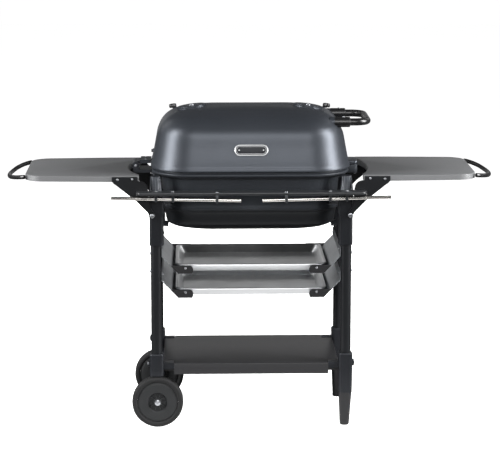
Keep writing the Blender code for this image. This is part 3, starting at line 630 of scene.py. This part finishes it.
def build_lid_fittings():
    put("lid_grip", tube(handle_path(), HANDLE_RADIUS, 32), "grip", "lid", ["lid_handle"])
    sleeves, screws = [], []
    for side in (1, -1):
        ends = [(x, side * HANDLE_Y, HANDLE_Z) for x in (250.0, 276.0, SOCKET_END, 297.0)]
        sleeves.append(tube(ends, 15.5, 40, 2.2))
        screws.append(dome_head((277.0, side * HANDLE_Y, HANDLE_Z + 15.1), (0, 0, 1), 3.6, 2.0))
    put("lid_grip_sleeves", sleeves, "grip", "lid")
    put("lid_grip_screws", screws, "bolt", "lid")

    seat = badge_frame()
    plate = rounded(50.0, 17.0, 16.0, 20, (0.0, 28.0))
    rings = [(0.0, 0.0), (1.4, 0.0), (2.2, 0.4), (2.8, 1.2), (2.8, 3.0), (2.0, 3.8)]
    rim = moved(skin([level(inset(plate, less), z) for z, less in rings]), seat)
    put("badge_rim", rim, "badge", "lid", ["badge_plate"])
    field = moved(slab(inset(plate, 4.2), 1.6, 2.25, 0.2), seat)
    put("badge_field", field, "casting", "lid")
    line = [level(inset(plate, less), z) for z, less in ((2.1, 6.0), (2.6, 6.3), (2.6, 7.0), (2.1, 7.3))]
    trim = [moved(skin(line, True), seat)]
    trim += [moved(slab(circle(2.2, 24, (x, 28.0)), 2.1, 2.75, 0.3), seat) for x in (-36.0, 36.0)]
    put("badge_trim", trim, "badge", "lid")

    port = turned([(5.0, 0.0), (5.0, 4.0), (4.2, 4.7), (2.4, 4.7), (2.2, 2.5), (2.2, 0.0)], 32)
    put("probe_bush", moved(port, facing((-293.8, 0.0, 816.0), (-1, 0, 0))), "casting", "lid", ["probe_port"])

    for side, end in SIDES:
        seat, reach = vent_frame(side), side * VENT_REACH
        arm = slab(rounded(30.0, 8.0, 7.0, 8, (side * 28.0, 0.0)), 0.7, 2.8, 0.4)
        cap = turned([(0.5, 1.0), (8.0, 1.0), (8.0, 5.5), (6.5, 6.5), (0.5, 6.5)], 32)
        disc = slab(circle(VENT_RADIUS, 72), 0.3, 3.0, 0.5)
        holes = [moved(hole, seat) for hole in ports(-5.0, 9.0, math.pi / PORT_HOLES)]
        ride = f"top_vent_{end}"
        plate = moved(disc, seat)
        put(f"vent_disc_{end}", plate, "body", ride, [f"top_vent_disc_{end}"], [moved(arm, seat)], holes)
        nut = [moved(s, seat) for s in (cap, slab(circle(5.6, 6), 3.0, 8.0, 0.4))]
        put(f"vent_nut_{end}", nut, "bolt", ride)
        star = []
        for z, grow in ((2.9, 0.80), (3.6, 0.92), (5.5, 1.0), (11.5, 1.0), (13.3, 0.92), (14.3, 0.76)):
            ring = []
            for i in range(80):
                angle = 2 * math.pi * i / 80
                radius = grow * (10.7 + 1.25 * math.cos(8 * (angle - math.pi / 8)))
                ring.append((reach + radius * math.cos(angle), radius * math.sin(angle), z))
            star.append(ring)
        knob = moved(skin(star), seat)
        put(f"vent_knob_{end}", knob, "grip", ride, [f"top_vent_knob_{end}"])


def build_hinge():
    keep("hinge_leaf", "casting", 0.8)
    keep("hinge_bracket", "casting", 0.8)
    pin = tube([(HINGE_X, -43.0, HINGE_Z), (HINGE_X, 43.0, HINGE_Z)], 4.0, 28, 1.0)
    put("lid_hinge_pin", pin, "bolt", "cart", ["hinge_pin"])
    screws = [dome_head((-315.0, y, 792.6), (0, 0, 1), 4.2, 2.4) for y in (-26.0, 26.0)]
    put("hinge_leaf_screws", screws, "bolt", "lid")
    lugs = [hex_nut((318.0, y, 752.2), (0, 0, -1), 4.6, 4.5) for y in (-26.0, 26.0)]
    put("base_lug_nuts", [s for group in lugs for s in group], "bolt", "cart")


# ---------------------------------------------------------------- base and grates


def build_base():
    joins = [slab(rounded(20.5, 45.0, 10.0, 8, (304.5, 0.0)), 752.0, 777.0, 1.5)]
    cuts = []
    for side in (1, -1):
        seat = low_vent_frame(side)
        joins.append(moved(slab(circle(40.0, 56), -16.0, 0.0), seat))
        cuts += [moved(hole, seat) for hole in ports(-40.0, 12.0, 0.0)]
    outer = body_rings((*BASE_RIM, *smooth_sections(BASE_SIDE, 3)))
    # The base wears the darker copy of the body paint, a painted shade
    put("base", skin(body_rings(BASE_INNER) + outer), "base", "cart", ["base_shell"], joins, cuts)
    keep("cooking_grate", "iron", 0.8)
    keep("charcoal_grate", "iron", 0.8)
    for _, end in SIDES:
        keep(f"low_vent_disc_{end}", "casting", 0.6)


# ---------------------------------------------------------------- legs, castings and tray


def ribbed_cone(depth, side):
    """The flared casting between a leg's sleeve and the rim, with shallow upright ribs."""
    rings = []
    steps = [(707.0, 20.5, 283.0), (714.0, 20.8, 283.4), (724.0, 18.9, LEG_X), (744.0, 16.9, LEG_X)]
    for z, half, centre in (*steps, (763.0, 14.9, LEG_X)):
        ring = []
        for i in range(64):
            angle = 2 * math.pi * i / 64
            radius = half - 1.1 * (0.5 - 0.5 * math.cos(12 * angle))
            ring.append((centre + radius * math.cos(angle), -LEG_Y + radius * math.sin(angle), z))
        rings.append(ring)
    return at_depth(on_side(skin(rings), side), depth)


def build_legs():
    for side, end in SIDES:
        for depth, where in DEPTHS:
            name = f"{where}_{end}"
            spot = (side * LEG_X, depth * LEG_Y)
            low = LEG_BOTTOM[side]
            outer, inner = circle(LEG_RADIUS, 48, spot), circle(LEG_RADIUS - LEG_WALL, 48, spot)
            rings = [level(outer, low), level(outer, LEG_TOP), level(inner, LEG_TOP), level(inner, low)]
            put(f"leg_tube_{name}", skin(rings, True), "tube", "cart", [f"leg_{name}"])
            keep(f"leg_casting_{name}", "casting", 1.2)
            put(f"rib_cone_{name}", ribbed_cone(depth, side), "cone", "cart")
            lower = f"foot_casting_{name}" if side > 0 else f"axle_casting_{name}"
            keep(lower, "casting", 1.2)
            if side > 0:
                keep(f"foot_{name}", "foot", 1.2)
            outward = (side, 0, 0)
            collar, tube_face = side * (LEG_X + COLLAR_HALF + 4.8), side * (LEG_X + LEG_RADIUS - 0.4)
            heads = [dome_head((collar, depth * LEG_Y, BOLT_Z), outward, 5.5, 2.6)]
            for z in BRACE_BOLTS_Z:
                heads.append(dome_head((tube_face, depth * LEG_Y, z), outward, 5.0, 2.8))
            put(f"leg_bolts_{name}", heads, "bolt", "cart")


def folded(outline, top, low, gauge, fold):
    """A sheet with its edge folded down all round. fold lists (below the top, in from the edge)."""
    inner = inset(outline, gauge)
    edge = [level(inset(outline, less), top - down) for down, less in fold]
    return skin([level(inner, top - gauge), level(inner, low), level(outline, low), *edge])


def build_tray():
    outline = []
    for sx, sy in ((1, 1), (-1, 1), (-1, -1), (1, -1)):
        spots = ((TRAY_WING_X, TRAY_WING_Y), (TRAY_X, TRAY_WING_Y), (TRAY_X, TRAY_Y))
        corner = [(sx * x, sy * y) for x, y in spots]
        outline += corner if sx == sy else reversed(corner)
    fold = ((1.6, 0.0), (0.9, 0.2), (0.3, 0.7), (0.0, 1.5))
    put("tray", folded(outline, TRAY_TOP, TRAY_LOW, TRAY_SHEET, fold), "sheet", "cart", ["lower_shelf"])


# ---------------------------------------------------------------- wheels


def along_y(shape, centre, depth):
    turn = Matrix.Rotation(math.radians(90), 4, "X")
    return moved(shape, Matrix.Translation((centre[0], depth, centre[1])) @ turn)


def tyre_shape():
    """A solid tyre with a grooved tread and a rounded shoulder."""
    half = [(DISC_RADIUS, 14.0), (63.5, 16.4), (66.0, 17.4), (70.0, 17.4), (73.4, 16.6), (75.6, 14.6)]
    half += [(76.6, 12.4), (76.8, 9.4), (75.2, 8.9), (75.2, 7.9)]
    half += [(76.9, 7.4), (76.9, 3.1), (75.3, 2.6), (75.3, 1.4)]
    return turned([(r, -h) for r, h in half] + [(r, h) for r, h in reversed(half)], 128)


def build_wheels():
    spot = (AXLE_X, AXLE_Z)
    face = [(60.7, 12.6), (60.0, 13.4), (58.0, 13.9), (55.5, 15.8), (54.0, 16.0), (31.0, 16.0), (29.4, 15.4)]
    face += [(25.6, 8.6), (24.4, 8.0), (14.0, 8.0), (13.0, 8.6), (11.7, 14.4), (10.6, 15.0), (6.5, 15.0)]
    for depth, end in DEPTHS:
        ride = f"wheel_{end}"
        at = depth * WHEEL_Y
        put(f"tyre_ring_{end}", along_y(tyre_shape(), spot, at), "rubber", ride, [f"tyre_{end}"])
        hub = turned(face + [(r, -h) for r, h in reversed(face)], 96)
        put(f"hub_disc_{end}", along_y(hub, spot, at), "hub", ride, [f"wheel_hub_{end}"])
        ribs = []
        for i in range(10):
            for reach in (1, -1):
                rib = box(12.4, 25.6, -0.9, 0.9, *sorted((reach * 7.6, reach * 12.6)), 0.3)
                ribs.append(along_y(moved(rib, Matrix.Rotation(2 * math.pi * i / 10, 4, "Z")), spot, at))
        put(f"hub_ribs_{end}", ribs, "hub", ride)
    cap = [(0.5, -0.2), (8.6, -0.2), (8.9, 0.8), (8.4, 2.9), (6.4, 4.0), (3.0, 4.2), (2.6, 3.2), (0.5, 3.2)]
    washer = [(6.3, -0.6), (9.0, -0.6), (9.0, 0.6), (6.3, 0.6)]
    heads, washers = [], []
    for depth in (-1, 1):
        seat = facing((AXLE_X, depth * (WHEEL_Y + 19.6), AXLE_Z), (0, depth, 0))
        heads.append(moved(turned(cap, 40), seat))
        washers.append(along_y(turned(washer, 40), spot, depth * (AXLE_REACH + 0.2)))
    bar = tube([(AXLE_X, -AXLE_REACH, AXLE_Z), (AXLE_X, AXLE_REACH, AXLE_Z)], 6.0, 32)
    put("axle_bar", [bar, *heads, *washers], "bolt", "cart", ["axle"])


# ---------------------------------------------------------------- side shelves


def shelf_outline(sagitta):
    points = [(SHELF_IN, -SHELF_Y), (SHELF_STRAIGHT, -SHELF_Y)]
    for sy in (-1, 1):
        cy = sy * (SHELF_TIP_Y - SHELF_CORNER)
        for step in range(17):
            angle = math.pi / 2 * step / 16 - (math.pi / 2 if sy < 0 else 0.0)
            x = SHELF_OUT - SHELF_CORNER + SHELF_CORNER * math.cos(angle)
            points.append((x, cy + SHELF_CORNER * math.sin(angle)))
    points += [(SHELF_STRAIGHT, SHELF_Y), (SHELF_IN, SHELF_Y)]
    radius = (NOTCH_HALF**2 + sagitta**2) / (2 * sagitta)
    half = math.asin(NOTCH_HALF / radius)
    for step in range(25):
        angle = half * (1 - step / 12)
        points.append((SHELF_IN + sagitta - radius + radius * math.cos(angle), radius * math.sin(angle)))
    return points


def build_side_shelves():
    for side, end in SIDES:
        ride = f"shelf_{end}"
        fold = ((3.0, 0.0), (1.6, 0.4), (0.6, 1.2), (0.0, 2.6))
        plate = folded(shelf_outline(NOTCH[side]), SHELF_TOP, SHELF_LOW, SHELF_SHEET, fold)
        put(f"shelf_top_{end}", on_side(plate, side), "grey", ride, [f"side_shelf_{end}"])
        half = [(672.6, 148.0, 759.5), (682.0, 142.0, 758.0), (697.0, 125.0, 755.0), (712.0, 95.0, 751.0)]
        half += [(722.4, 57.0, 747.0), (727.6, 20.0, 745.5)]
        path = smooth_path([(x, -y, z) for x, y, z in half] + list(reversed(half)), 5)
        put(f"grab_{end}", on_side(tube(path, 6.4, 24), side), "grip", ride, [f"grab_bar_{end}"])
        bolts = []
        for depth, where in DEPTHS:
            keep(f"gusset_{where}_{end}", "tube", 0.5)
            for x, z in ((352.0, 758.0), (396.0, 757.0)):
                bolts.append(dome_head((side * x, depth * (GUSSET_OUT - 0.2), z), (0, depth, 0), 3.6, 2.0))
        put(f"gusset_bolts_{end}", bolts, "bolt", ride)
    pivots = []
    for side, _ in SIDES:
        for depth, _ in DEPTHS:
            pivots.append(dome_head((side * PIVOT_X, depth * 195.9, PIVOT_Z), (0, depth, 0), 6.6, 2.6))
    put("fold_pivots", pivots, "bolt", "cart")


def smooth_path(points, steps):
    return [tuple(p) for p in smooth_sections(points, steps)]


# ---------------------------------------------------------------- rail and rods


def rod_point(x):
    outer, inner = Vector(ROD_OUTER), Vector(ROD_INNER)
    return outer.lerp(inner, (outer.x - x) / (outer.x - inner.x))


def build_rail():
    outline = []
    corners = ((1, 1, 8.0, 0.0), (-1, 1, 8.0, 0.5), (-1, -1, 20.0, 1.0), (1, -1, 20.0, 1.5))
    for sx, sy, radius, start in corners:
        cx = sx * (RAIL_X - radius)
        cy = (RAIL_BACK - radius) if sy > 0 else (RAIL_FRONT + radius)
        for step in range(13):
            angle = math.pi * (start + 0.5 * step / 12)
            outline.append((cx + radius * math.cos(angle), cy + radius * math.sin(angle)))
    joins, cuts, bolts = [], [], []
    for side in (1, -1):
        joins.append(box(*sorted((side * 276.0, side * 290.0)), -200.0, -187.5, 716.0, 724.0, 0.8))
        for x in HOOKS_X:
            at = rod_point(x)
            hook = box(-4.0, 4.0, -8.5, 8.5, -8.5, RAIL_LOW + 2.0 - at.z, 1.4)
            joins.append(moved(hook, Matrix.Translation((side * at.x, at.y, at.z))))
            bolts.append(dome_head((side * at.x, at.y + 2.0, RAIL_HIGH - 0.4), (0, 0, 1), 4.6, 2.6))
        ends = [(side * p[0], p[1], p[2]) for p in (ROD_OUTER, ROD_INNER)]
        cuts.append(tube(ends, ROD_RADIUS + 0.4, 28))
    put("rail", slab(outline, RAIL_LOW, RAIL_HIGH, 3.0), "rail", "cart", ["front_rail"], joins, cuts)
    put("rail_bolts", bolts, "bolt", "cart")
    for side, end in SIDES:
        ends = [(side * p[0], p[1], p[2]) for p in (ROD_OUTER, ROD_INNER)]
        put(f"rod_{end}", tube(ends, ROD_RADIUS, 32, 0.8), "steel", "cart", [f"tool_rod_{end}"])


# ---------------------------------------------------------------- racks and pans


def rack_shapes(side, drop):
    """The folded side plate with its ledge, and the two upright hooks at its ends."""
    face = LEG_X - LEG_RADIUS - 0.3
    inside, ledge_low = face - LEDGE_SHEET, LEDGE_TOP - LEDGE_SHEET
    outline = [(face, FLANGE_TOP), (inside, FLANGE_TOP), (inside, FLANGE_LOW), (KNEE, LEDGE_TOP)]
    outline += [(LEDGE_IN, LEDGE_TOP), (LEDGE_IN, ledge_low), (KNEE + 0.9, ledge_low)]
    outline.append((face, FLANGE_LOW - 0.8))
    slope = (inside - KNEE) / (FLANGE_LOW - LEDGE_TOP)
    lip_out = KNEE + slope * (LIP_TOP - LEDGE_TOP) + 1.2
    lip = [(KNEE + 0.9, LEDGE_TOP - 1.2), (lip_out, LIP_TOP), (182.0, LIP_TOP)]
    lip += [(176.0, LIP_TOP - 3.0), (173.5, LIP_TOP - 10.0), (173.5, 476.0), (177.0, LEDGE_TOP - 1.2)]
    hook = upright(lip, -RACK_Y - 2.2, -RACK_Y - 0.1)
    lower = Matrix.Translation((0.0, 0.0, -drop))
    plate = upright(outline, -RACK_Y, RACK_Y)
    plate, *hooks = [moved(on_side(s, side), lower) for s in (plate, hook, at_depth(hook, 1))]
    return plate, hooks


def build_racks():
    for side, end in SIDES:
        for tier, drop in (("upper", 0.0), ("lower", RACK_STEP)):
            plate, hooks = rack_shapes(side, drop)
            # The plate's light grey is a painted reflection; the hooks keep the sheet's own black
            put(f"rack_plate_{tier}_{end}", plate, "rack", "cart", [f"rack_{tier}_{end}"], bevel=0.4)
            put(f"rack_hooks_{tier}_{end}", hooks, "sheet", "cart", bevel=0.4)
            screws = []
            for depth, _ in DEPTHS:
                spot = (side * 264.6, depth * 140.0, 536.0 - drop)
                screws.append(dome_head(spot, (-side, 0, 0), 4.4, 2.4))
                spot = (side * 196.0, depth * (RACK_Y + 2.0), 486.0 - drop)
                screws.append(dome_head(spot, (0, depth, 0), 3.4, 1.6))
            put(f"rack_screws_{tier}_{end}", screws, "bolt", "cart")


def build_pans():
    """Drawn pans: a rolled rim, sloping walls and a soft radius where the wall meets the floor."""
    for tier, drop in (("upper", 0.0), ("lower", RACK_STEP)):
        low = PAN_LOW - drop
        rings = [level(rounded(PAN_X - d, PAN_Y - d, r, 12), low + z) for z, d, r in PAN_PROFILE]
        put(f"pan_{tier}", skin(rings), "pan", f"pan_{tier}", [f"sheet_pan_{tier}"])


# ---------------------------------------------------------------- studio


def area_light(name, spot, target, size, watts):
    data = bpy.data.lights.new(name, "AREA")
    data.shape = "RECTANGLE"
    data.size, data.size_y = size
    data.energy = watts
    obj = link(name, data)
    obj.location = spot
    obj.rotation_euler = (Vector(target) - Vector(spot)).to_track_quat("-Z", "Y").to_euler()
    obj.visible_camera = False
    return obj


def glowing(name, strength):
    made = bpy.data.materials.new(name)
    made.use_nodes = True
    made.node_tree.nodes["Principled BSDF"].inputs["Base Color"].default_value = (0.0, 0.0, 0.0, 1.0)
    made.node_tree.nodes["Principled BSDF"].inputs["Emission Color"].default_value = (1.0, 1.0, 1.0, 1.0)
    made.node_tree.nodes["Principled BSDF"].inputs["Emission Strength"].default_value = strength
    return made


def sheet(name, corners, material):
    mesh = bpy.data.meshes.new(name)
    mesh.from_pydata(corners, [], [(0, 1, 2, 3)])
    mesh.materials.append(material)
    return link(name, mesh)


def card(name, corners, strength):
    """A white card that only shows in reflections."""
    obj = sheet(name, corners, glowing(name + "_white", strength))
    for unseen in ("visible_camera", "visible_diffuse", "visible_transmission", "visible_shadow"):
        setattr(obj, unseen, False)
    return obj


def build_studio():
    """A white room seen by the camera alone, and soft boxes at both sides of a dark surround."""
    far = FLOOR_HALF
    floor = sheet("floor", [(-far, -far, 0), (far, -far, 0), (far, far, 0), (-far, far, 0)], plain_floor())
    room_mesh = bpy.data.meshes.new("room")
    work = bmesh.new()
    bmesh.ops.create_uvsphere(work, u_segments=48, v_segments=24, radius=ROOM_RADIUS)
    work.to_mesh(room_mesh)
    work.free()
    room_mesh.materials.append(glowing("room_white", 1.0))
    room = link("room", room_mesh)
    for unseen in ("visible_diffuse", "visible_glossy", "visible_transmission", "visible_shadow"):
        setattr(room, unseen, False)
    floor.visible_diffuse = floor.visible_glossy = False
    low = [(-0.7, -0.62, 0.002), (0.7, -0.62, 0.002), (0.7, -0.12, 0.002), (-0.7, -0.12, 0.002)]
    back = [(-1.3, 3.0, 0.5), (1.3, 3.0, 0.5), (1.3, 3.0, 1.35), (-1.3, 3.0, 1.35)]
    low_card, back_card = card("low_card", low, 1.9), card("back_card", back, 0.45)
    world = bpy.data.worlds.new("studio")
    world.use_nodes = True
    world.node_tree.nodes["Background"].inputs["Color"].default_value = (1.0, 1.0, 1.0, 1.0)
    world.node_tree.nodes["Background"].inputs["Strength"].default_value = WORLD_GLOW
    bpy.context.scene.world = world
    bpy.context.scene.view_settings.view_transform = "Standard"
    for side, end, watts in ((-1, "left", 120), (1, "right", 160)):
        area_light(f"side_{end}", (side * 2.5, -0.75, 1.55), (0, 0, 0.75), (1.0, 2.0), watts)
        area_light(f"back_{end}", (side * 2.2, 2.0, 2.3), (0, 0, 0.7), (1.0, 1.4), 7)
    area_light("front", (0.0, -4.6, 2.5), (0, 0, 0.75), (3.4, 2.4), 146)
    fill = area_light("back_fill", (0.0, 4.2, 0.9), (0, 0, 0.6), (3.4, 1.2), 110)
    fill.visible_glossy = False

    camera = bpy.data.objects.new("camera", bpy.data.cameras.new("camera"))
    bpy.context.scene.collection.objects.link(camera)
    camera.location = CAMERA_SPOT
    camera.rotation_euler = [math.radians(turn) for turn in CAMERA_TURN]
    camera.data.lens = CAMERA_LENS
    camera.data.sensor_width = 36.0
    camera.data.sensor_fit = "HORIZONTAL"
    camera.data.clip_end = 60.0
    bpy.context.scene.camera = camera


def main():
    build_lid()
    build_lid_fittings()
    build_hinge()
    build_base()
    build_legs()
    build_tray()
    build_wheels()
    build_side_shelves()
    build_rail()
    build_racks()
    build_pans()
    build_studio()


main()
